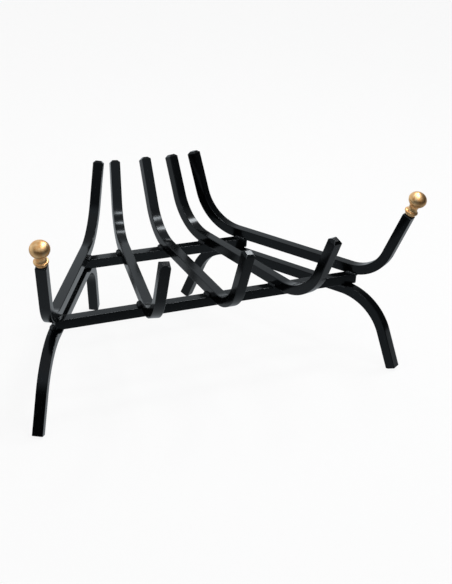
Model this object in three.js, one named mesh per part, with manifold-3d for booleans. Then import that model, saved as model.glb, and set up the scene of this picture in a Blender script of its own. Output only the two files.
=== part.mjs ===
// A welded log grate of solid square bar with turned brass ball finials, in millimetres.
// +Z is up, the fingers point towards -Y, +X is to the right of someone facing the fire,
// and the feet stand on z = 0.
import * as THREE from 'three';
import { mergeVertices } from 'three/addons/utils/BufferGeometryUtils.js';
import Module from 'manifold-3d';

// ---------- Bar stock ----------
const BAR = 16; // across the flats of the square bar
const EDGE_RADIUS = 1.1; // rolled corners of the bar
const END_CHAMFER = 3.5; // bevel all round each free end
const CROSSBAR_CHAMFER = 0.8; // broken edge on the sawn ends of the crossbars

// ---------- Plan of the grate ----------
const CROSSBAR_SPACING = 182; // front crossbar to rear crossbar, centre to centre
const FRONT_CROSSBAR_LENGTH = 510;
const REAR_CROSSBAR_LENGTH = 295;
const OUTER_RUNG_FRONT = 253; // half the spread of the outer rungs over the front crossbar
const OUTER_RUNG_REAR = 142; // the same over the rear crossbar
const INNER_RUNG_FRONT = 111;
const INNER_RUNG_REAR = 73.5;
const RIGHT_LEG_INSET_FRONT = 15; // the right leg arch is welded inboard of its rung
const RIGHT_LEG_INSET_REAR = 12;
const RAIL_CLEARANCE = 105; // floor to the underside of the rails
const FOOT_FLAT = 1.8; // height ground off the heel of each foot

// ---------- Bends: where each starts beyond its crossbar, centreline radius, angle in degrees ----------
const OUTER_FINGER = { bendStart: -5, radius: 65, angle: 70, straight: 80 };
const OUTER_UPRIGHT = { bendStart: 10, radius: 80, angle: 70, straight: 71 };
const INNER_FINGER = { bendStart: 22, radius: 83, angle: 70, straight: 67 };
const INNER_UPRIGHT = { bendStart: 3.5, radius: 86, angle: 63.7, straight: 70 };
const CENTRE_FINGER = { bendStart: 29, radius: 59.5, angle: 72, straight: 72.5 };
const CENTRE_UPRIGHT = { bendStart: -16, radius: 90, angle: 59, straight: 81 };
const FRONT_LEG = { bendStart: -2, radius: 88, angle: 67.2 };
const REAR_LEG = { bendStart: 0.8, radius: 75, angle: 68.8 };

// ---------- Studs and finials ----------
const RUNNING_GAP = 0.3; // clearance of everything that turns or is let in
const STUD_RADIUS = 3.95; // over the crests of the thread
const THREAD_DEPTH = 0.8;
const THREAD_PITCH = 1.4;
const STUD_IN_BAR = 12;
const STUD_IN_FINIAL = 12;
const BASE_RADIUS = 8.4; // foot of the finial on the bar
const BASE_HEIGHT = 1.2;
const FLANGE_RADIUS = 10.7;
const FLANGE_THICKNESS = 4.4;
const FLANGE_HEIGHT = 5.2; // bar end to the middle of the flange
const NECK_RADIUS = 5.9;
const NECK_HEIGHT = 13.5; // bar end to the narrowest place
const BALL_RADIUS = 14.4; // across the finial's axis
const BALL_HALF_HEIGHT = 12.2; // along the axis, so the ball is a little flat
const BALL_CENTRE = 27.9; // bar end to the middle of the ball
const GROOVE_ANGLE = -38; // latitude of the turned line below the ball's middle
const GROOVE_HALF_WIDTH = 2.5; // degrees of latitude
const GROOVE_DEPTH = 0.45;

// ---------- Weld beads ----------
const BEAD_LEG = 5;
const BEAD_RIPPLE = 3.2; // length of one ripple
const BEAD_VALLEY = 0.84; // section at a valley, as a share of the leg
const BEAD_END = 0.55; // section at the ends of the bead, as a share of the leg

// ---------- Facets ----------
const BEND_STEPS = 11;
const EDGE_STEPS = 2;
const LATHE_SEGMENTS = 26;
const BALL_STEPS = 15;
const COVE_STEPS = 5;
const THREAD_SEGMENTS = 10;
const RINGS_PER_PITCH = 4;
const BEAD_ARC_STEPS = 3;

// ---------- Heights that follow ----------
const RAIL_HEIGHT = RAIL_CLEARANCE + BAR / 2;
const CROSSBAR_HEIGHT = RAIL_HEIGHT + BAR;
const RUNG_HEIGHT = CROSSBAR_HEIGHT + BAR;

const BLACK_PAINT = { color: 0x0d0e10, roughness: 0.34, metalness: 0 };
const BRASS = { color: 0xd0a667, roughness: 0.22, metalness: 1 };
const ZINC_STEEL = { color: 0xa9abad, roughness: 0.4, metalness: 1 };

const wasm = await Module();
wasm.setup();

// ---------- Helpers ----------

function namedMesh(name, geometry, finish) {
  const mesh = new THREE.Mesh(geometry, new THREE.MeshStandardMaterial(finish));
  mesh.name = name;
  return mesh;
}

// Joins a stack of equal rings of points into one closed body with flat ends.
function loft(rings) {
  const count = rings[0].length;
  const positions = rings.flat().flatMap((point) => [point.x, point.y, point.z]);
  const triangles = [];
  for (let ring = 0; ring < rings.length - 1; ring += 1) {
    for (let i = 0; i < count; i += 1) {
      const next = (i + 1) % count;
      const near = ring * count;
      const far = near + count;
      triangles.push(near + i, near + next, far + next);
      triangles.push(near + i, far + next, far + i);
    }
  }
  const last = (rings.length - 1) * count;
  for (let i = 1; i < count - 1; i += 1) {
    triangles.push(0, i + 1, i);
    triangles.push(last, last + i, last + i + 1);
  }
  const geometry = new THREE.BufferGeometry();
  geometry.setAttribute('position', new THREE.Float32BufferAttribute(positions, 3));
  geometry.setIndex(triangles);
  return geometry;
}

function toSolid(geometry) {
  const bare = geometry.clone();
  bare.deleteAttribute('normal');
  bare.deleteAttribute('uv');
  const merged = mergeVertices(bare, 1e-5);
  return new wasm.Manifold(new wasm.Mesh({
    numProp: 3,
    vertProperties: new Float32Array(merged.attributes.position.array),
    triVerts: new Uint32Array(merged.index.array),
  }));
}

function cutAway(geometry, tool) {
  const mesh = toSolid(geometry).subtract(toSolid(tool)).getMesh();
  const result = new THREE.BufferGeometry();
  result.setAttribute('position', new THREE.BufferAttribute(mesh.vertProperties, 3));
  result.setIndex(new THREE.BufferAttribute(mesh.triVerts, 1));
  return result;
}

// ---------- Bars ----------

// The bar's section seen along its run: a square with rolled corners, anticlockwise from +side.
function barSection() {
  const points = [];
  const centre = BAR / 2 - EDGE_RADIUS;
  for (let corner = 0; corner < 4; corner += 1) {
    const start = (corner * Math.PI) / 2;
    const side = Math.SQRT2 * centre * Math.cos(start + Math.PI / 4);
    const up = Math.SQRT2 * centre * Math.sin(start + Math.PI / 4);
    for (let step = 0; step <= EDGE_STEPS; step += 1) {
      const angle = start + (step / EDGE_STEPS) * (Math.PI / 2);
      points.push({
        side: side + EDGE_RADIUS * Math.cos(angle),
        up: up + EDGE_RADIUS * Math.sin(angle),
      });
    }
  }
  return points;
}

// Stations of one end of a bent bar, from the start of its bend outwards.
// lift is 1 for an end that turns up and -1 for one that turns down.
function endStations({ bendStart, radius, angle, straight }, lift, chamfer) {
  const turn = THREE.MathUtils.degToRad(angle);
  const stations = [];
  for (let step = 0; step <= BEND_STEPS; step += 1) {
    const at = (turn * step) / BEND_STEPS;
    stations.push({
      out: bendStart + radius * Math.sin(at),
      rise: lift * radius * (1 - Math.cos(at)),
      turn: lift * at,
      width: 1,
    });
  }
  const bendEnd = stations.at(-1);
  const alongStraight = (distance, width) => ({
    out: bendEnd.out + distance * Math.cos(turn),
    rise: bendEnd.rise + lift * distance * Math.sin(turn),
    turn: lift * turn,
    width,
  });
  if (chamfer > 0) {
    stations.push(alongStraight(straight - chamfer, 1));
  }
  stations.push(alongStraight(straight, 1 - (2 * chamfer) / BAR));
  return stations;
}

// A bar bent in its own upright plane. It runs along +Y from the front crossbar, at y = 0,
// to the rear crossbar, at y = span.
function bentBar(span, front, rear, lift, chamfer) {
  const stations = [
    ...endStations(front, lift, chamfer).reverse().map(({ out, rise, turn, width }) => (
      { run: -out, rise, heading: -turn, width }
    )),
    ...endStations(rear, lift, chamfer).map(({ out, rise, turn, width }) => (
      { run: span + out, rise, heading: turn, width }
    )),
  ];
  const section = barSection();
  return loft(stations.map(({ run, rise, heading, width }) => section.map(({ side, up }) => (
    new THREE.Vector3(
      -side * width,
      run - Math.sin(heading) * up * width,
      rise + Math.cos(heading) * up * width,
    )
  ))));
}

// A straight bar along X with broken edges on its ends.
function straightBar(length) {
  const narrow = 1 - (2 * CROSSBAR_CHAMFER) / BAR;
  const stations = [
    { x: -length / 2, width: narrow },
    { x: -length / 2 + CROSSBAR_CHAMFER, width: 1 },
    { x: length / 2 - CROSSBAR_CHAMFER, width: 1 },
    { x: length / 2, width: narrow },
  ];
  const section = barSection();
  return loft(stations.map(({ x, width }) => section.map(({ side, up }) => (
    new THREE.Vector3(x, side * width, up * width)
  ))));
}

// Plan of a bar that crosses the front crossbar at frontX and the rear one at rearX.
function barPlan(frontX, rearX) {
  return {
    frontX,
    rearX,
    span: Math.hypot(rearX - frontX, CROSSBAR_SPACING),
    yaw: Math.atan2(frontX - rearX, CROSSBAR_SPACING),
  };
}

function placedAt(plan, height) {
  const group = new THREE.Group();
  group.position.set(plan.frontX, -CROSSBAR_SPACING / 2, height);
  group.rotation.z = plan.yaw;
  return group;
}

// ---------- Leg arches ----------

// Length of straight that brings the heel of a leg down to the floor, before the flat is ground on it.
function legWithStraight(leg) {
  const turn = THREE.MathUtils.degToRad(leg.angle);
  const heelDrop = (BAR / 2) * Math.cos(turn);
  const drop = RAIL_HEIGHT + FOOT_FLAT - leg.radius * (1 - Math.cos(turn)) - heelDrop;
  return { ...leg, straight: drop / Math.sin(turn) };
}

function legArch(name, plan) {
  const bar = bentBar(plan.span, legWithStraight(FRONT_LEG), legWithStraight(REAR_LEG), -1, 0);
  bar.computeBoundingBox();
  const size = bar.boundingBox.getSize(new THREE.Vector3()).addScalar(BAR);
  const floor = new THREE.BoxGeometry(size.x, size.y, BAR);
  floor.translate(0, plan.span / 2, -RAIL_HEIGHT - BAR / 2);
  const group = placedAt(plan, RAIL_HEIGHT);
  group.add(namedMesh(name, cutAway(bar, floor), BLACK_PAINT));
  return group;
}

// ---------- Studs and finials, built upwards from the bar end at z = 0 ----------

// A rod with a helical thread: the radius follows the thread round and along the rod.
function threadedStud() {
  const length = STUD_IN_BAR + STUD_IN_FINIAL;
  const ringCount = Math.round((length / THREAD_PITCH) * RINGS_PER_PITCH);
  const rings = [];
  for (let ring = 0; ring <= ringCount; ring += 1) {
    const height = (length * ring) / ringCount;
    const fromEnd = Math.min(height, length - height);
    const points = [];
    for (let i = 0; i < THREAD_SEGMENTS; i += 1) {
      const share = i / THREAD_SEGMENTS;
      const phase = height / THREAD_PITCH - share;
      const depth = 2 * THREAD_DEPTH * Math.abs(phase - Math.round(phase));
      const lead = Math.max(0, THREAD_DEPTH - fromEnd);
      const radius = STUD_RADIUS - Math.max(depth, lead);
      const angle = 2 * Math.PI * share;
      points.push(new THREE.Vector3(
        radius * Math.cos(angle),
        radius * Math.sin(angle),
        height - STUD_IN_BAR,
      ));
    }
    rings.push(points);
  }
  return loft(rings);
}

function studHole() {
  const drill = new THREE.CylinderGeometry(
    STUD_RADIUS + RUNNING_GAP,
    STUD_RADIUS + RUNNING_GAP,
    2 * STUD_IN_BAR,
    THREAD_SEGMENTS * 2,
  );
  drill.rotateX(Math.PI / 2);
  return drill;
}

// Half outline of the ball from its neck to its top, with the turned line as a shallow notch.
function ballOutline() {
  const neckLatitude = -Math.acos(NECK_RADIUS / BALL_RADIUS);
  const groove = THREE.MathUtils.degToRad(GROOVE_ANGLE);
  const halfWidth = THREE.MathUtils.degToRad(GROOVE_HALF_WIDTH);
  const onBall = (latitude, depth) => new THREE.Vector2(
    (BALL_RADIUS - depth) * Math.cos(latitude),
    BALL_CENTRE + (BALL_HALF_HEIGHT - depth) * Math.sin(latitude),
  );
  const outline = [];
  for (let step = 0; step < BALL_STEPS; step += 1) {
    const latitude = neckLatitude + ((Math.PI / 2 - neckLatitude) * step) / BALL_STEPS;
    if (Math.abs(latitude - groove) > 2 * halfWidth) {
      outline.push({ latitude, point: onBall(latitude, 0) });
    }
  }
  [[-halfWidth, 0], [0, GROOVE_DEPTH], [halfWidth, 0]].forEach(([offset, depth]) => {
    outline.push({ latitude: groove + offset, point: onBall(groove + offset, depth) });
  });
  outline.sort((a, b) => a.latitude - b.latitude);
  return [
    ...outline.map(({ point }) => point),
    new THREE.Vector2(0, BALL_CENTRE + BALL_HALF_HEIGHT),
  ];
}

// Half-round rim of the flange, from its lower edge to its upper one.
function flangeOutline() {
  const half = FLANGE_THICKNESS / 2;
  const outline = [];
  for (let step = 0; step <= COVE_STEPS; step += 1) {
    const angle = -Math.PI / 2 + (Math.PI * step) / COVE_STEPS;
    outline.push(new THREE.Vector2(
      FLANGE_RADIUS - half + half * Math.cos(angle),
      FLANGE_HEIGHT + half * Math.sin(angle),
    ));
  }
  return outline;
}

// Hollow curve that sweeps from the top of the flange in to the neck.
function coveOutline() {
  const bottom = FLANGE_HEIGHT + FLANGE_THICKNESS / 2;
  const outer = FLANGE_RADIUS - FLANGE_THICKNESS / 2;
  const outline = [];
  for (let step = 1; step <= COVE_STEPS; step += 1) {
    const angle = (Math.PI / 2) * (step / COVE_STEPS);
    outline.push(new THREE.Vector2(
      outer - (outer - NECK_RADIUS) * Math.sin(angle),
      NECK_HEIGHT - (NECK_HEIGHT - bottom) * Math.cos(angle),
    ));
  }
  return outline;
}

function finialGeometry() {
  const boreRadius = STUD_RADIUS + RUNNING_GAP;
  const boreTop = STUD_IN_FINIAL + RUNNING_GAP;
  const finial = new THREE.LatheGeometry([
    new THREE.Vector2(0, boreTop),
    new THREE.Vector2(boreRadius, boreTop),
    new THREE.Vector2(boreRadius, RUNNING_GAP),
    new THREE.Vector2(BASE_RADIUS, RUNNING_GAP),
    new THREE.Vector2(BASE_RADIUS, BASE_HEIGHT),
    ...flangeOutline(),
    ...coveOutline(),
    ...ballOutline(),
  ], LATHE_SEGMENTS);
  finial.rotateX(Math.PI / 2);
  return finial;
}

// ---------- Rungs ----------

// A frame at the end of a finger, with its Z along the finger.
function fingerTip(finger) {
  const tip = endStations(finger, 1, END_CHAMFER).at(-1);
  const frame = new THREE.Group();
  frame.position.set(0, -tip.out, tip.rise);
  frame.rotation.x = Math.PI / 2 - tip.turn;
  frame.updateMatrix();
  return frame;
}

function plainRung(name, plan, finger, upright) {
  const group = placedAt(plan, RUNG_HEIGHT);
  group.add(namedMesh(name, bentBar(plan.span, finger, upright, 1, END_CHAMFER), BLACK_PAINT));
  return group;
}

function finialRung(name, hand, plan) {
  const tip = fingerTip(OUTER_FINGER);
  const bar = bentBar(plan.span, OUTER_FINGER, OUTER_UPRIGHT, 1, END_CHAMFER);
  const drilled = cutAway(bar, studHole().applyMatrix4(tip.matrix));
  tip.add(namedMesh(`stud_${hand}`, threadedStud(), ZINC_STEEL));
  tip.add(namedMesh(`finial_${hand}`, finialGeometry(), BRASS));
  const group = placedAt(plan, RUNG_HEIGHT);
  group.add(namedMesh(name, drilled, BLACK_PAINT), tip);
  return group;
}

// ---------- Weld beads ----------

// A rippled fillet along Y that fills the corner between +X and +Z.
function beadGeometry(length) {
  const ripples = Math.max(2, Math.round(length / BEAD_RIPPLE));
  const rings = [];
  for (let ring = 0; ring <= 2 * ripples; ring += 1) {
    const atEnd = ring === 0 || ring === 2 * ripples;
    const crest = ring % 2 === 1;
    const share = atEnd ? BEAD_END : (crest ? 1 : BEAD_VALLEY);
    const y = length * (ring / (2 * ripples) - 0.5);
    const points = [new THREE.Vector3(0, y, 0)];
    for (let step = 0; step <= BEAD_ARC_STEPS; step += 1) {
      const angle = (Math.PI / 2) * (step / BEAD_ARC_STEPS);
      const reach = BEAD_LEG * share;
      points.push(new THREE.Vector3(reach * Math.cos(angle), y, reach * Math.sin(angle)));
    }
    rings.push(points.reverse());
  }
  return loft(rings);
}

// Turns a bead about its own length, so that it fills the corner towards side and up.
function beadTurn(side, up) {
  if (up > 0) {
    return side > 0 ? 0 : -Math.PI / 2;
  }
  return side > 0 ? Math.PI / 2 : Math.PI;
}

// The beads on both sides of one crossing. up is 1 for a rung on top of the crossbar and -1 for
// a rail under it. Where the crossbar stops under the bar, the bead lies on the crossbar's end.
function crossingBeads(name, crossbar, barX, yaw, up) {
  const face = CROSSBAR_HEIGHT + (up * BAR) / 2;
  const reachAcross = BAR / 2 / Math.cos(yaw) + BEAD_LEG;
  const beads = new THREE.Group();
  [['left', -1], ['right', 1]].forEach(([hand, side]) => {
    const besideBar = side * barX + reachAcross < crossbar.length / 2;
    const length = besideBar ? BAR / Math.cos(yaw) : BAR - 2 * EDGE_RADIUS;
    const bead = namedMesh(`weld_${name}_${crossbar.place}_${hand}`, beadGeometry(length), BLACK_PAINT);
    bead.rotation.y = besideBar ? beadTurn(side, up) : beadTurn(side, -up);
    bead.position.x = besideBar ? (side * BAR) / 2 : 0;
    const frame = new THREE.Group();
    frame.position.set(besideBar ? barX : (side * crossbar.length) / 2, crossbar.y, face);
    frame.rotation.z = besideBar ? yaw : 0;
    frame.add(bead);
    beads.add(frame);
  });
  return beads;
}

// ---------- Assembly ----------

const CROSSBARS = [
  { place: 'front', length: FRONT_CROSSBAR_LENGTH, y: -CROSSBAR_SPACING / 2 },
  { place: 'rear', length: REAR_CROSSBAR_LENGTH, y: CROSSBAR_SPACING / 2 },
];

const LEG_ARCHES = [
  { name: 'leg_arch_left', plan: barPlan(-OUTER_RUNG_FRONT, -OUTER_RUNG_REAR) },
  {
    name: 'leg_arch_right',
    plan: barPlan(
      OUTER_RUNG_FRONT - RIGHT_LEG_INSET_FRONT,
      OUTER_RUNG_REAR - RIGHT_LEG_INSET_REAR,
    ),
  },
];

const RUNGS = [
  { name: 'rung_outer_left', hand: 'left', plan: barPlan(-OUTER_RUNG_FRONT, -OUTER_RUNG_REAR) },
  { name: 'rung_inner_left', plan: barPlan(-INNER_RUNG_FRONT, -INNER_RUNG_REAR) },
  { name: 'rung_centre', plan: barPlan(0, 0), finger: CENTRE_FINGER, upright: CENTRE_UPRIGHT },
  { name: 'rung_inner_right', plan: barPlan(INNER_RUNG_FRONT, INNER_RUNG_REAR) },
  { name: 'rung_outer_right', hand: 'right', plan: barPlan(OUTER_RUNG_FRONT, OUTER_RUNG_REAR) },
];

function welds({ name, plan }, up) {
  const group = new THREE.Group();
  CROSSBARS.forEach((crossbar) => {
    const barX = crossbar.place === 'front' ? plan.frontX : plan.rearX;
    group.add(crossingBeads(name, crossbar, barX, plan.yaw, up));
  });
  return group;
}

const group = new THREE.Group();
CROSSBARS.forEach(({ place, length, y }) => {
  const crossbar = namedMesh(`crossbar_${place}`, straightBar(length), BLACK_PAINT);
  crossbar.position.set(0, y, CROSSBAR_HEIGHT);
  group.add(crossbar);
});
LEG_ARCHES.forEach((arch) => {
  group.add(legArch(arch.name, arch.plan), welds(arch, -1));
});
RUNGS.forEach((rung) => {
  const { name, hand, plan, finger = INNER_FINGER, upright = INNER_UPRIGHT } = rung;
  group.add(hand ? finialRung(name, hand, plan) : plainRung(name, plan, finger, upright));
  group.add(welds(rung, 1));
});

// The row's origin is the middle of the footprint, on the floor.
const bounds = new THREE.Box3().setFromObject(group);
const middle = bounds.getCenter(new THREE.Vector3());
group.position.set(-middle.x, -middle.y, 0);

export default group;
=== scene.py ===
# A welded log grate of solid square bar, painted gloss black, with turned brass ball finials.
# Sizes are in millimetres and are brought to metres where a piece is put in its place.
import math
from collections import namedtuple

import bmesh
import bpy
from mathutils import Matrix, Vector, noise


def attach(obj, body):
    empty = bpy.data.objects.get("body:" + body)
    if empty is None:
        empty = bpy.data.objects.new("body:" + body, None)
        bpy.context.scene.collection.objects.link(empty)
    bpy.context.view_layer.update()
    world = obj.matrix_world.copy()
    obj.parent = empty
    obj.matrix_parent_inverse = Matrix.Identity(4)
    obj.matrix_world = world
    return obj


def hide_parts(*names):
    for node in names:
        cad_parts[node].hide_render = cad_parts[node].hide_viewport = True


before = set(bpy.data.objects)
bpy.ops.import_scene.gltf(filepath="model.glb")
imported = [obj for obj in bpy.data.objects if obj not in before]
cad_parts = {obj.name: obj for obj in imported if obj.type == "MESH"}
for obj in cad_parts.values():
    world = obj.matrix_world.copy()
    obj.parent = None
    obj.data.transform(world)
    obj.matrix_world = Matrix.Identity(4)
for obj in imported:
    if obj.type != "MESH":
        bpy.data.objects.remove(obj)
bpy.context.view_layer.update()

MM = 0.001
TO_METRES = Matrix.Scale(MM, 4)

# ---------- Bar stock ----------
BAR = 16.0
EDGE_RADIUS = 1.1
EDGE_SEGMENTS = 3
EDGE_ANGLE = 50.0  # edges sharper than this, in degrees, are rounded
END_CHAMFER = 3.5
CROSSBAR_CHAMFER = 0.8

# ---------- Plan of the grate ----------
FRONT_CROSSBAR_Y = -85.125
REAR_CROSSBAR_Y = 96.875
CROSSBAR_HEIGHT = 129.0
FRONT_CROSSBAR_LENGTH = 510.0
REAR_CROSSBAR_LENGTH = 295.0
CROSSBAR_SPACING = REAR_CROSSBAR_Y - FRONT_CROSSBAR_Y
RAIL_HEIGHT = CROSSBAR_HEIGHT - BAR
RUNG_HEIGHT = CROSSBAR_HEIGHT + BAR
OUTER_RUNG = (253.0, 142.0)  # out from the middle, over the front and the rear crossbar
INNER_RUNG = (111.0, 73.5)
RIGHT_LEG_INSET = (15.0, 12.0)
FOOT_FLAT = 1.8

# ---------- Bends: start beyond crossbar, centreline radius, degrees, straight beyond ----------
OUTER_FINGER = (-5.0, 65.0, 70.0, 80.0)
OUTER_UPRIGHT = (10.0, 80.0, 70.0, 71.0)
INNER_FINGER = (22.0, 83.0, 70.0, 67.0)
INNER_UPRIGHT = (3.5, 86.0, 63.7, 70.0)
CENTRE_FINGER = (29.0, 59.5, 72.0, 72.5)
CENTRE_UPRIGHT = (-16.0, 90.0, 59.0, 81.0)
FRONT_LEG = (-2.0, 88.0, 67.2)  # the legs' straights run down to the floor
REAR_LEG = (0.8, 75.0, 68.8)
BEND_STEP = 2.6  # degrees of bend between two rings of the mesh
STRAIGHT_STEP = 8.0

# ---------- Studs ----------
RUNNING_GAP = 0.3
STUD_RADIUS = 3.95
STUD_DEPTH = 12.0
HOLE_DEPTH = 12.5
HOLE_SIDES = 48

# ---------- Finials, from the end of the finger up ----------
FINIAL_STEPS = 96
FOOT_RADIUS = 8.0  # to where its edge is rounded off
FOOT_EDGE = 0.4
FOOT_TOP = 1.2
FLANGE_RADIUS = 8.6  # to the middle of its round rim
FLANGE_RIM = 2.2
FLANGE_HEIGHT = 5.2
NECK_HOLLOW = (9.0, 12.4)  # radius and height of the middle of the hollow
NECK_DEPTH = 1.8
NECK_HALF_HEIGHT = 4.6
BALL_RADIUS = 14.4
BALL_HALF_HEIGHT = 12.2
BALL_HEIGHT = 27.9  # of its middle
BALL_START = -52.0  # latitude at which the ball leaves its neck
BALL_RINGS = 132
TURNED_LINES = (-16.0, -33.0)  # latitudes
LINE_DEPTH = 1.2
LINE_WIDTH = 3.4  # degrees of latitude

# ---------- Weld beads ----------
BEAD_LEG = 5.0
BEAD_RIPPLE = 3.2
BEAD_STEP = 0.4  # between two rings of the mesh
BEAD_FACETS = 8
BEAD_FULLNESS = 0.86  # share of a full quarter round
RIPPLE_DEPTH = 0.12
RIPPLE_LAG = 1.1  # by which a ripple trails in the middle of the bead
RIPPLE_SHIFT = 0.37  # from bead to bead, in ripples
BEAD_END_FALL = 0.42
LUMP_DEPTH = 0.09
LUMP_SCALE = 0.35
LUMP_SHIFT = 7.3  # from bead to bead

Plan = namedtuple("Plan", "front_x rear_x span yaw")


def add_object(name, data):
    made = bpy.data.objects.new(name, data)
    bpy.context.scene.collection.objects.link(made)
    return made


# ---------- Node helpers ----------

def add_node(tree, kind, inputs=None, **settings):
    node = tree.nodes.new(kind)
    for name, value in settings.items():
        setattr(node, name, value)
    for name, value in (inputs or {}).items():
        node.inputs[name].default_value = value
    return node


def new_material(name):
    material = bpy.data.materials.new(name)
    material.use_nodes = True
    tree = material.node_tree
    tree.nodes.clear()
    output = tree.nodes.new("ShaderNodeOutputMaterial")
    return material, tree, output


def new_group(name, inputs, outputs):
    group = bpy.data.node_groups.new(name, "ShaderNodeTree")
    for socket, kind, value in inputs:
        made = group.interface.new_socket(name=socket, in_out="INPUT", socket_type=kind)
        if value is not None:
            made.default_value = value
    for socket, kind in outputs:
        group.interface.new_socket(name=socket, in_out="OUTPUT", socket_type=kind)
    return group, group.nodes.new("NodeGroupInput"), group.nodes.new("NodeGroupOutput")


def surface_grain_group():
    """Fine grain, long soft waves and stray specks, shared by every finish on the grate."""
    group, inlet, outlet = new_group(
        "surface grain",
        [
            ("Vector", "NodeSocketVector", None),
            ("Grain Scale", "NodeSocketFloat", 900.0),
            ("Wave Scale", "NodeSocketFloat", 60.0),
            ("Speck Scale", "NodeSocketFloat", 260.0),
            ("Speck Size", "NodeSocketFloat", 0.12),
            ("Speck Rarity", "NodeSocketFloat", 0.86),
        ],
        [
            ("Grain", "NodeSocketFloat"),
            ("Waves", "NodeSocketFloat"),
            ("Specks", "NodeSocketFloat"),
        ],
    )
    link = group.links.new
    grain = add_node(group, "ShaderNodeTexNoise", {"Detail": 3.0, "Roughness": 0.6})
    waves = add_node(group, "ShaderNodeTexNoise", {"Detail": 2.0, "Roughness": 0.45})
    specks = add_node(group, "ShaderNodeTexVoronoi", {"Randomness": 1.0})
    for texture, scale in ((grain, "Grain Scale"), (waves, "Wave Scale"), (specks, "Speck Scale")):
        link(inlet.outputs["Vector"], texture.inputs["Vector"])
        link(inlet.outputs[scale], texture.inputs["Scale"])
    link(grain.outputs["Fac"], outlet.inputs["Grain"])
    link(waves.outputs["Fac"], outlet.inputs["Waves"])
    chosen = add_node(group, "ShaderNodeSeparateColor")
    link(specks.outputs["Color"], chosen.inputs["Color"])
    near = joined(group, "LESS_THAN", specks.outputs["Distance"], inlet.outputs["Speck Size"])
    rare = joined(group, "GREATER_THAN", chosen.outputs["Red"], inlet.outputs["Speck Rarity"])
    link(joined(group, "MULTIPLY", near, rare), outlet.inputs["Specks"])
    return group


def grain_node(tree, **values):
    node = add_node(tree, "ShaderNodeGroup", node_tree=SURFACE_GRAIN)
    for name, value in values.items():
        node.inputs[name.replace("_", " ").title()].default_value = value
    place = add_node(tree, "ShaderNodeTexCoord")
    tree.links.new(place.outputs["Object"], node.inputs["Vector"])
    return node


def range_of(tree, source, low, high, start=0.0, stop=1.0):
    """A socket brought from start - stop to low - high."""
    node = add_node(tree, "ShaderNodeMapRange", {
        "From Min": start, "From Max": stop, "To Min": low, "To Max": high,
    })
    tree.links.new(source, node.inputs["Value"])
    return node.outputs["Result"]


def joined(tree, operation, *sources):
    """One result of the same sum over two or more sockets."""
    result = sources[0]
    for source in sources[1:]:
        node = add_node(tree, "ShaderNodeMath", operation=operation)
        tree.links.new(result, node.inputs[0])
        tree.links.new(source, node.inputs[1])
        result = node.outputs[0]
    return result


def mixed_colour(tree, factor, first, second):
    node = add_node(tree, "ShaderNodeMix", data_type="RGBA")
    node.inputs["A"].default_value = (*first, 1)
    node.inputs["B"].default_value = (*second, 1)
    tree.links.new(factor, node.inputs["Factor"])
    return node.outputs["Result"]


def bump_chain(tree, layers):
    normal = None
    for height, strength, distance in layers:
        bump = add_node(tree, "ShaderNodeBump", {"Strength": strength, "Distance": distance})
        tree.links.new(height, bump.inputs["Height"])
        if normal is not None:
            tree.links.new(normal, bump.inputs["Normal"])
        normal = bump.outputs["Normal"]
    return normal


# ---------- Finishes ----------

def finish_material(tree, output, shader, colour, roughness, normal):
    tree.links.new(colour, shader.inputs["Base Color"])
    tree.links.new(roughness, shader.inputs["Roughness"])
    tree.links.new(normal, shader.inputs["Normal"])
    tree.links.new(shader.outputs["BSDF"], output.inputs["Surface"])


def black_paint_material(name, roughness, wave_depth, speck_depth):
    material, tree, output = new_material(name)
    grain = grain_node(tree, grain_scale=1400.0, wave_scale=24.0, speck_scale=210.0)
    waves = grain.outputs["Waves"]
    shader = add_node(tree, "ShaderNodeBsdfPrincipled", {
        "IOR": 1.5, "Specular IOR Level": 0.25, "Specular Tint": (0.86, 0.94, 1.0, 1),
    })
    finish_material(
        tree, output, shader,
        mixed_colour(tree, waves, (0.0004, 0.0005, 0.0006), (0.0010, 0.0013, 0.0016)),
        range_of(tree, waves, roughness * 0.75, roughness * 1.3, 0.3, 0.7),
        bump_chain(tree, [
            (waves, 1.0, wave_depth),
            (grain.outputs["Grain"], 1.0, 0.000006),
            (grain.outputs["Specks"], 1.0, speck_depth),
        ]))
    return material


def brass_material():
    material, tree, output = new_material("polished brass")
    grain = grain_node(tree, grain_scale=2400.0, wave_scale=160.0)
    along = add_node(tree, "ShaderNodeAttribute", attribute_name="along_axis")
    rings = add_node(tree, "ShaderNodeTexNoise",
                     {"Scale": 2.6, "Detail": 3.0, "Roughness": 0.7}, noise_dimensions="1D")
    tree.links.new(along.outputs["Fac"], rings.inputs["W"])
    cloud = range_of(tree, grain.outputs["Waves"], 0.0, 1.0, 0.35, 0.65)
    finish_material(
        tree, output, add_node(tree, "ShaderNodeBsdfPrincipled", {"Metallic": 1.0}),
        mixed_colour(tree, cloud, (0.86, 0.45, 0.17), (0.98, 0.66, 0.34)),
        range_of(tree, rings.outputs["Fac"], 0.32, 0.44, 0.3, 0.7),
        bump_chain(tree, [
            (rings.outputs["Fac"], 0.6, 0.00006),
            (grain.outputs["Grain"], 0.5, 0.000004),
        ]))
    return material


def zinc_material():
    material, tree, output = new_material("zinc plated thread")
    grain = grain_node(tree, grain_scale=1800.0, wave_scale=220.0)
    finish_material(
        tree, output, add_node(tree, "ShaderNodeBsdfPrincipled", {"Metallic": 1.0}),
        mixed_colour(tree, grain.outputs["Waves"], (0.42, 0.43, 0.44), (0.60, 0.61, 0.62)),
        range_of(tree, grain.outputs["Grain"], 0.25, 0.45),
        bump_chain(tree, [(grain.outputs["Grain"], 0.5, 0.00001)]))
    return material


SURFACE_GRAIN = surface_grain_group()
BLACK_PAINT = black_paint_material("gloss black paint", 0.15, 0.00004, 0.00004)
WELD_PAINT = black_paint_material("gloss black paint over weld", 0.20, 0.00008, 0.00008)
BRASS = brass_material()
ZINC = zinc_material()


# ---------- Mesh helpers ----------

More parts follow.
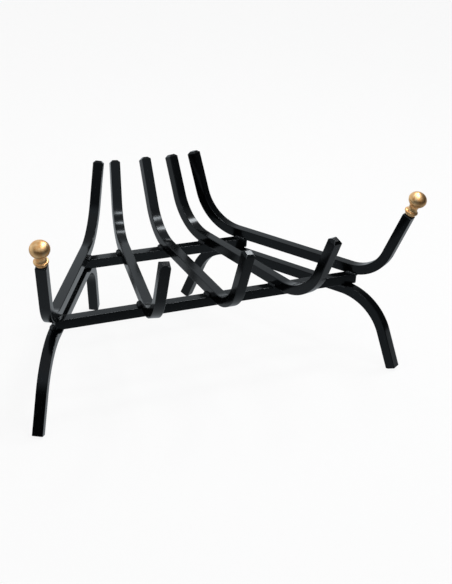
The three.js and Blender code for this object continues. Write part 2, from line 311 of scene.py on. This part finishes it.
def finish_piece(name, bm, material, body, node, smooth_angle=40.0):
    mesh = bpy.data.meshes.new(name)
    bm.normal_update()
    bm.to_mesh(mesh)
    bm.free()
    mesh.materials.append(material)
    mesh.shade_smooth()
    mesh.set_sharp_from_angle(angle=math.radians(smooth_angle))
    piece = add_object(name, mesh)
    flats = piece.modifiers.new("flat faces stay flat", "WEIGHTED_NORMAL")
    flats.weight = 90
    flats.keep_sharp = True
    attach(piece, body)
    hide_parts(node)
    return piece


def pull_out(bm, face, shift, scale=1.0):
    """Extrudes one end face along shift, scales it about its middle and gives it back."""
    made = bmesh.ops.extrude_face_region(bm, geom=[face])
    new_face = [g for g in made["geom"] if isinstance(g, bmesh.types.BMFace)][0]
    if any(len(edge.link_faces) > 2 for edge in face.edges):
        bmesh.ops.delete(bm, geom=[face], context="FACES_ONLY")
    bmesh.ops.translate(bm, vec=shift, verts=new_face.verts)
    middle = new_face.calc_center_median()
    bmesh.ops.scale(bm, vec=(scale, scale, scale), verts=new_face.verts,
                    space=Matrix.Translation(-middle))
    return new_face


def bend(bm, face, centre, turn):
    """Sweeps one end face round a bend about the X axis and gives back the face it ends on."""
    steps = max(3, round(abs(math.degrees(turn)) / BEND_STEP))
    made = bmesh.ops.spin(bm, geom=[face, *face.edges, *face.verts], cent=centre, axis=(1, 0, 0),
                          dvec=(0, 0, 0), angle=turn, steps=steps, use_duplicate=False)
    return [g for g in made["geom_last"] if isinstance(g, bmesh.types.BMFace)][0]


def round_edges(bm):
    sharp = [e for e in bm.edges
             if len(e.link_faces) == 2 and e.calc_face_angle() > math.radians(EDGE_ANGLE)]
    bmesh.ops.bevel(bm, geom=sharp, offset=EDGE_RADIUS, affect="EDGES", segments=EDGE_SEGMENTS,
                    profile=0.5, material=-1, clamp_overlap=True)


def arc(cx, cz, rx, rz, start, stop, steps):
    """Points of an arc with its two half axes and its ends in degrees."""
    return [(cx + rx * math.cos(math.radians(start + (stop - start) * i / steps)),
             cz + rz * math.sin(math.radians(start + (stop - start) * i / steps)))
            for i in range(steps + 1)]


def full_turn(outline, steps):
    """The form that an outline of radii and heights makes in a full turn about Z."""
    bm = bmesh.new()
    verts = [bm.verts.new((x, 0, z)) for x, z in outline]
    edges = [bm.edges.new(pair) for pair in zip(verts, verts[1:])]
    bmesh.ops.spin(bm, geom=[*verts, *edges], cent=(0, 0, 0), axis=(0, 0, 1), dvec=(0, 0, 0),
                   angle=2 * math.pi, steps=steps, use_merge=True, use_duplicate=False)
    bmesh.ops.remove_doubles(bm, verts=bm.verts, dist=1e-4)
    return bm


# ---------- Bars ----------

def bent_bar(span, front, rear, lift, chamfer):
    """A bar bent at both ends in its own upright plane, with the front crossbar at y = 0."""
    bm = bmesh.new()
    start, stop = -front[0], span + rear[0]
    bmesh.ops.create_cube(bm, size=1.0, matrix=Matrix.Translation((0, (start + stop) / 2, 0))
                          @ Matrix.Diagonal((BAR, stop - start, BAR, 1)))
    for way, at, (_, radius, angle, straight) in ((-1, start, front), (1, stop, rear)):
        face = max(bm.faces, key=lambda f: way * f.calc_center_median().y)
        turn = math.radians(angle)
        face = bend(bm, face, (0, at, lift * radius), way * lift * turn)
        heading = Vector((0, way * math.cos(turn), lift * math.sin(turn)))
        lengths = max(1, round((straight - chamfer) / STRAIGHT_STEP))
        for _ in range(lengths):
            face = pull_out(bm, face, heading * (straight - chamfer) / lengths)
        if chamfer:
            pull_out(bm, face, heading * chamfer, 1 - 2 * chamfer / BAR)
    return bm


def straight_bar(length):
    bm = bmesh.new()
    bmesh.ops.create_cube(bm, size=1.0,
                          matrix=Matrix.Diagonal((length - 2 * CROSSBAR_CHAMFER, BAR, BAR, 1)))
    for way in (-1, 1):
        face = max(bm.faces, key=lambda f: way * f.calc_center_median().x)
        pull_out(bm, face, Vector((way * CROSSBAR_CHAMFER, 0, 0)), 1 - 2 * CROSSBAR_CHAMFER / BAR)
    return bm


def plan_of(front_x, rear_x):
    span = math.hypot(rear_x - front_x, CROSSBAR_SPACING)
    return Plan(front_x, rear_x, span, math.atan2(front_x - rear_x, CROSSBAR_SPACING))


def place_of(plan, height):
    """Matrix from a bar's own frame in millimetres to the grate's frame in metres."""
    return (TO_METRES @ Matrix.Translation((plan.front_x, FRONT_CROSSBAR_Y, height))
            @ Matrix.Rotation(plan.yaw, 4, "Z"))


def leg_with_straight(leg):
    """A leg's bend with the straight that brings its heel just below the floor."""
    start, radius, angle = leg
    turn = math.radians(angle)
    drop = RAIL_HEIGHT + FOOT_FLAT - radius * (1 - math.cos(turn)) - BAR / 2 * math.cos(turn)
    return start, radius, angle, drop / math.sin(turn)


def finish_bar(name, bm, place, node):
    bm.transform(place)
    finish_piece(name, bm, BLACK_PAINT, "grate", node)


def leg_arch(hand, plan):
    bm = bent_bar(plan.span, leg_with_straight(FRONT_LEG), leg_with_straight(REAR_LEG), -1, 0)
    round_edges(bm)
    cut = bmesh.ops.bisect_plane(bm, geom=[*bm.verts, *bm.edges, *bm.faces], dist=1e-5,
                                 plane_co=(0, 0, -RAIL_HEIGHT), plane_no=(0, 0, -1),
                                 clear_outer=True)
    rim = [g for g in cut["geom_cut"] if isinstance(g, bmesh.types.BMEdge)]
    bmesh.ops.holes_fill(bm, edges=rim, sides=0)
    finish_bar(f"arch_bar_{hand}", bm, place_of(plan, RAIL_HEIGHT), f"leg_arch_{hand}")


def rung(name, plan, finger, upright):
    bm = bent_bar(plan.span, finger, upright, 1, END_CHAMFER)
    round_edges(bm)
    finish_bar(f"{name}_bar", bm, place_of(plan, RUNG_HEIGHT), name)


def crossbar(side, length, y):
    bm = straight_bar(length)
    round_edges(bm)
    finish_bar(f"crossbar_{side}_bar", bm,
               TO_METRES @ Matrix.Translation((0, y, CROSSBAR_HEIGHT)), f"crossbar_{side}")


# ---------- Studs and finials ----------

def finger_tip(plan, finger):
    """Matrix of the end of a finger, with its Z along the finger."""
    start, radius, angle, straight = finger
    turn = math.radians(angle)
    out = start + radius * math.sin(turn) + straight * math.cos(turn)
    rise = radius * (1 - math.cos(turn)) + straight * math.sin(turn)
    return (place_of(plan, RUNG_HEIGHT) @ Matrix.Translation((0, -out, rise))
            @ Matrix.Rotation(math.pi / 2 - turn, 4, "X"))


def drill(name, tip):
    """Drills the tapped hole for a stud into the end of a finger."""
    bm = bmesh.new()
    bmesh.ops.create_cone(bm, cap_ends=True, segments=HOLE_SIDES, radius1=STUD_RADIUS,
                          radius2=STUD_RADIUS, depth=2 * HOLE_DEPTH)
    bm.transform(tip)
    mesh = bpy.data.meshes.new("drill")
    bm.to_mesh(mesh)
    bm.free()
    drill_bit = add_object("drill", mesh)
    bar = bpy.data.objects[name]
    hole = bar.modifiers.new("stud hole", "BOOLEAN")
    hole.operation = "DIFFERENCE"
    hole.solver = "EXACT"
    hole.object = drill_bit
    bar.modifiers.move(1, 0)  # before the modifier that keeps the flat faces flat
    with bpy.context.temp_override(object=bar):
        bpy.ops.object.modifier_apply(modifier="stud hole")
    bpy.data.objects.remove(drill_bit)


def ball_arc():
    """The ball from its neck up, with two turned lines round its lower half."""
    points = []
    for i in range(BALL_RINGS + 1):
        latitude = BALL_START + (90 - BALL_START) * i / BALL_RINGS
        depth = sum(LINE_DEPTH * math.exp(-((latitude - line) / LINE_WIDTH) ** 2)
                    for line in TURNED_LINES)
        angle = math.radians(latitude)
        points.append((max(0.0, (BALL_RADIUS - depth) * math.cos(angle)),
                       BALL_HEIGHT + (BALL_HALF_HEIGHT - depth) * math.sin(angle)))
    return points


def finial(hand, tip):
    bore = STUD_RADIUS + RUNNING_GAP
    bore_end = STUD_DEPTH + RUNNING_GAP
    bm = full_turn([
        (0.0, bore_end), (bore, bore_end), (bore, RUNNING_GAP),
        *arc(FOOT_RADIUS, RUNNING_GAP + FOOT_EDGE, FOOT_EDGE, FOOT_EDGE, -90, 0, 3),
        *arc(FOOT_RADIUS, FOOT_TOP, FOOT_EDGE, FOOT_EDGE, 0, 60, 3),
        *arc(FLANGE_RADIUS, FLANGE_HEIGHT, FLANGE_RIM, FLANGE_RIM, -88, 88, 14),
        *arc(*NECK_HOLLOW, -NECK_DEPTH, -NECK_HALF_HEIGHT, 80, 0, 10),
        *arc(*NECK_HOLLOW, -NECK_DEPTH, NECK_HALF_HEIGHT, 8, 62, 8),
        *ball_arc(),
    ], FINIAL_STEPS)
    bmesh.ops.recalc_face_normals(bm, faces=bm.faces)
    heights = [v.co.z for v in bm.verts]
    bm.transform(tip)
    piece = finish_piece(f"ball_finial_{hand}", bm, BRASS, f"finial_{hand}", f"finial_{hand}",
                         smooth_angle=50)
    along = piece.data.attributes.new("along_axis", "FLOAT", "POINT")
    along.data.foreach_set("value", heights)


# ---------- Weld beads ----------

def weld_bead(name, length, place, seed):
    """A rippled fillet along Y that fills the corner between +X and +Z."""
    bm = bmesh.new()
    corner = [(0.0, 0.0), *arc(0, 0, BEAD_LEG, BEAD_LEG, 0, 90, BEAD_FACETS)]
    face = bm.faces.new([bm.verts.new((x, -length / 2, z)) for x, z in corner])
    steps = round(length / BEAD_STEP)
    for _ in range(steps):
        face = pull_out(bm, face, Vector((0, length / steps, 0)))
    for vert in bm.verts:
        x, y, z = vert.co
        behind = RIPPLE_LAG * (2 * x * z / BEAD_LEG ** 2)
        ripple = ((y + behind) / BEAD_RIPPLE + seed * RIPPLE_SHIFT) % 1.0
        ends = 1 - BEAD_END_FALL * abs(2 * y / length) ** 6
        lump = noise.noise(Vector((x, y, z)) * LUMP_SCALE + Vector((seed * LUMP_SHIFT, 0, 0)))
        fullness = BEAD_FULLNESS + RIPPLE_DEPTH * math.sin(math.pi * ripple) + LUMP_DEPTH * lump
        share = min(1.0, ends * fullness)
        vert.co.x *= share
        vert.co.z *= share
    bmesh.ops.recalc_face_normals(bm, faces=bm.faces)
    bm.transform(place)
    finish_piece(f"{name}_bead", bm, WELD_PAINT, "grate", name, smooth_angle=60)


def bead_turn(side, up):
    """Turns a bead about its own length, so that it fills the corner towards side and up."""
    if up > 0:
        return 0.0 if side > 0 else -math.pi / 2
    return math.pi / 2 if side > 0 else math.pi


def crossing_beads(name, plan, up):
    """The beads where a bar crosses the crossbars, with up 1 for a rung and -1 for a rail."""
    reach_across = BAR / 2 / math.cos(plan.yaw) + BEAD_LEG
    for number, (place, crossbar_length, y, x) in enumerate((
        ("front", FRONT_CROSSBAR_LENGTH, FRONT_CROSSBAR_Y, plan.front_x),
        ("rear", REAR_CROSSBAR_LENGTH, REAR_CROSSBAR_Y, plan.rear_x),
    )):
        for hand, side in (("left", -1), ("right", 1)):
            if side * x + reach_across < crossbar_length / 2:  # room beside the bar
                length = BAR / math.cos(plan.yaw)
                bead_x, yaw, out = x, plan.yaw, side * BAR / 2
                corner = bead_turn(side, up)
            else:  # on the end of the crossbar
                length = BAR - 2 * EDGE_RADIUS
                bead_x, yaw, out = side * crossbar_length / 2, 0.0, 0.0
                corner = bead_turn(side, -up)
            stand = Matrix.Translation((bead_x, y, CROSSBAR_HEIGHT + up * BAR / 2))
            weld_bead(f"weld_{name}_{place}_{hand}", length,
                      TO_METRES @ stand @ Matrix.Rotation(yaw, 4, "Z")
                      @ Matrix.Translation((out, 0, 0)) @ Matrix.Rotation(corner, 4, "Y"),
                      x / 10 + number + side)


# ---------- Assembly ----------

LEFT_PLAN = plan_of(-OUTER_RUNG[0], -OUTER_RUNG[1])
RIGHT_PLAN = plan_of(OUTER_RUNG[0], OUTER_RUNG[1])
RIGHT_LEG_PLAN = plan_of(OUTER_RUNG[0] - RIGHT_LEG_INSET[0], OUTER_RUNG[1] - RIGHT_LEG_INSET[1])
RUNGS = [
    ("rung_outer_left", LEFT_PLAN, OUTER_FINGER, OUTER_UPRIGHT),
    ("rung_inner_left", plan_of(-INNER_RUNG[0], -INNER_RUNG[1]), INNER_FINGER, INNER_UPRIGHT),
    ("rung_centre", plan_of(0.0, 0.0), CENTRE_FINGER, CENTRE_UPRIGHT),
    ("rung_inner_right", plan_of(INNER_RUNG[0], INNER_RUNG[1]), INNER_FINGER, INNER_UPRIGHT),
    ("rung_outer_right", RIGHT_PLAN, OUTER_FINGER, OUTER_UPRIGHT),
]
for name, plan, finger, upright in RUNGS:
    rung(name, plan, finger, upright)
    crossing_beads(name, plan, 1)
crossbar("front", FRONT_CROSSBAR_LENGTH, FRONT_CROSSBAR_Y)
crossbar("rear", REAR_CROSSBAR_LENGTH, REAR_CROSSBAR_Y)
for hand, plan in (("left", LEFT_PLAN), ("right", RIGHT_LEG_PLAN)):
    leg_arch(hand, plan)
    crossing_beads(f"leg_arch_{hand}", plan, -1)
for hand, plan in (("left", LEFT_PLAN), ("right", RIGHT_PLAN)):
    tip = finger_tip(plan, OUTER_FINGER)
    drill(f"rung_outer_{hand}_bar", tip)
    finial(hand, tip)
    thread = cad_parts[f"stud_{hand}"].data
    thread.materials.clear()
    thread.materials.append(ZINC)


# ---------- Studio ----------

SWEEP_RADIUS = 4.0  # metres, to where the floor starts to curve up
SWEEP_CURVE = 1.0
SWEEP_TOP = 5.5
SWEEP_STEPS = 96
SWEEP_SHADOW_SHARE = 0.10  # of what the camera sees of the sweep, the part that shades

# Painted shade that gloss and metal see on the sweep, as levels along an axis: level at the start,
# level at the stop, start, stop.
FLOOR_PAINTED_SHADE = (0.22, 0.52, -0.36, -0.24)  # along y, up to the grate's front
REAR_PAINTED_SHADE_LIFT = (1.0, 1.95, 0.3, 2.5)  # along y, behind the grate
REAR_WALL_PAINTED_SHADE = (1.0, 0.6, 0.0, 5.0)  # along z, up the rear wall
FRONT_WALL_PAINTED_SHADE = (0.03, 0.80, 1.2, 3.2)  # along z, up the front wall
FRONT_TO_FLOOR = (0.0, 1.0, -1.3, -0.7)  # along y
# painted shade towards the right of the sweep
RIGHT_FALL = (1.0, 0.15, 1.5, 4.5)  # along x
ROOM_LEVEL = (0.03, 0.80, 0.24, 0.58)  # along the z of a heading
ROOM_RIGHT_FALL = (1.0, 0.35, -0.5, 0.8)  # along the x of a heading

LAMP_DISTANCE = 1.7
LAMP_RADIANCE = 22.0
REAR_BENDS = Vector((0.03, 0.11, 0.17))


def sweep_material():
    """Pale floor and wall that keep the grate's shadow and show as white to the camera.

    Gloss and metal see them in a faint painted blue tint, with painted shade: white far behind the
    grate, darker under it, darker still in front of it and low on the front wall, and darker up
    the rear wall and to the right.
    """
    material, tree, output = new_material("pale studio sweep")
    link = tree.links.new
    diffuse = add_node(tree, "ShaderNodeBsdfDiffuse")
    diffuse.inputs["Color"].default_value = (0.86, 0.86, 0.86, 1)
    path = add_node(tree, "ShaderNodeLightPath")
    camera_ray = path.outputs["Is Camera Ray"]
    share = joined(tree, "MAXIMUM", range_of(tree, camera_ray, 0.0, 1 - SWEEP_SHADOW_SHARE),
                   path.outputs["Is Glossy Ray"], path.outputs["Is Transmission Ray"])
    place = add_node(tree, "ShaderNodeTexCoord")
    axes = add_node(tree, "ShaderNodeSeparateXYZ")
    link(place.outputs["Object"], axes.inputs[0])
    x, y, z = axes.outputs
    # Painted shade on the sweep for gloss and metal: the front wall's level, blended over y into
    # the floor's and the rear wall's levels.
    shade = add_node(tree, "ShaderNodeMix", data_type="FLOAT")
    link(range_of(tree, y, *FRONT_TO_FLOOR), shade.inputs["Factor"])
    link(range_of(tree, z, *FRONT_WALL_PAINTED_SHADE), shade.inputs["A"])
    link(joined(tree, "MULTIPLY", range_of(tree, y, *FLOOR_PAINTED_SHADE), range_of(tree, y, *REAR_PAINTED_SHADE_LIFT),
                range_of(tree, z, *REAR_WALL_PAINTED_SHADE)), shade.inputs["B"])
    painted_shade_level = joined(tree, "MULTIPLY", shade.outputs["Result"], range_of(tree, x, *RIGHT_FALL))
    white = add_node(tree, "ShaderNodeEmission")
    # a faint painted blue tint in what gloss and metal reflect of the sweep, which stays white to
    # the camera
    link(mixed_colour(tree, camera_ray, (0.88, 0.95, 1.0), (1.0, 1.0, 1.0)), white.inputs["Color"])
    link(joined(tree, "MAXIMUM", painted_shade_level, camera_ray), white.inputs["Strength"])
    mix = add_node(tree, "ShaderNodeMixShader")
    link(share, mix.inputs["Fac"])
    link(diffuse.outputs["BSDF"], mix.inputs[1])
    link(white.outputs["Emission"], mix.inputs[2])
    link(mix.outputs["Shader"], output.inputs["Surface"])
    return material


def studio_sweep():
    """A round floor that curves up into a wall on every side."""
    bm = full_turn([
        (0.0, 0.0),
        *arc(SWEEP_RADIUS, SWEEP_CURVE, SWEEP_CURVE, SWEEP_CURVE, -90, 0, 12),
        (SWEEP_RADIUS + SWEEP_CURVE, SWEEP_TOP),
    ], SWEEP_STEPS)
    mesh = bpy.data.meshes.new("studio sweep")
    bm.to_mesh(mesh)
    bm.free()
    mesh.shade_smooth()
    mesh.materials.append(sweep_material())
    add_object("studio_sweep", mesh)


def studio_world():
    """A plain room, dark along its walls, lighter overhead and on the left."""
    world = bpy.data.worlds.new("studio")
    world.use_nodes = True
    tree = world.node_tree
    background = tree.nodes["Background"]
    place = add_node(tree, "ShaderNodeTexCoord")
    axes = add_node(tree, "ShaderNodeSeparateXYZ")
    tree.links.new(place.outputs["Generated"], axes.inputs[0])
    x, _, z = axes.outputs
    level = joined(tree, "MULTIPLY", range_of(tree, z, *ROOM_LEVEL),
                   range_of(tree, x, *ROOM_RIGHT_FALL))
    tree.links.new(level, background.inputs["Strength"])
    background.inputs["Color"].default_value = (0.96, 0.98, 1.0, 1)
    bpy.context.scene.world = world


def strip_lamp(name, start, stop, width):
    """A strip light between two headings seen from the rear bends, turned towards them."""
    ends = [REAR_BENDS + LAMP_DISTANCE * Vector(heading).normalized() for heading in (start, stop)]
    length = (ends[1] - ends[0]).length
    lamp = bpy.data.lights.new(name, "AREA")
    lamp.shape = "RECTANGLE"
    lamp.size, lamp.size_y = length, width
    lamp.energy = LAMP_RADIANCE * math.pi * length * width
    middle = (ends[0] + ends[1]) / 2
    along = (ends[1] - ends[0]).normalized()
    back = middle - REAR_BENDS
    back = (back - back.dot(along) * along).normalized()
    facing = Matrix((along, back.cross(along), back)).transposed()
    holder = add_object(name, lamp)
    holder.matrix_world = Matrix.Translation(middle) @ facing.to_4x4()


studio_sweep()
studio_world()
for name, start, stop, width in (
    ("right overhead lamp", (0.34, 0.13, 0.93), (0.58, 0.25, 0.78), 0.22),
    ("back overhead lamp", (0.15, 0.30, 0.94), (0.30, 0.26, 0.92), 0.14),
    ("middle overhead lamp", (0.07, -0.13, 0.99), (0.40, -0.31, 0.87), 0.14),
    ("front overhead lamp", (-0.03, -0.55, 0.84), (0.13, -0.55, 0.83), 0.12),
):
    strip_lamp(name, start, stop, width)

# ---------- Camera ----------
FOCAL_PIXELS = 1253.7
PHOTO_HEIGHT = 584
SENSOR_WIDTH = 36.0
CAMERA_PLACE = Vector((-0.7763, -1.62756, 0.99328))
CAMERA_RIGHT = Vector((0.89987, -0.43152, 0.06345))
CAMERA_DOWN = Vector((-0.14020, -0.42394, -0.89477))
camera_data = bpy.data.cameras.new("camera")
camera_data.sensor_width = SENSOR_WIDTH
camera_data.lens = FOCAL_PIXELS * SENSOR_WIDTH / PHOTO_HEIGHT
camera = add_object("camera", camera_data)
right = CAMERA_RIGHT.normalized()
up = (-CAMERA_DOWN + CAMERA_DOWN.dot(right) * right).normalized()
turn = Matrix((right, up, right.cross(up))).transposed()
camera.matrix_world = Matrix.Translation(CAMERA_PLACE) @ turn.to_4x4()
bpy.context.scene.camera = camera
bpy.context.scene.view_settings.view_transform = "Standard"
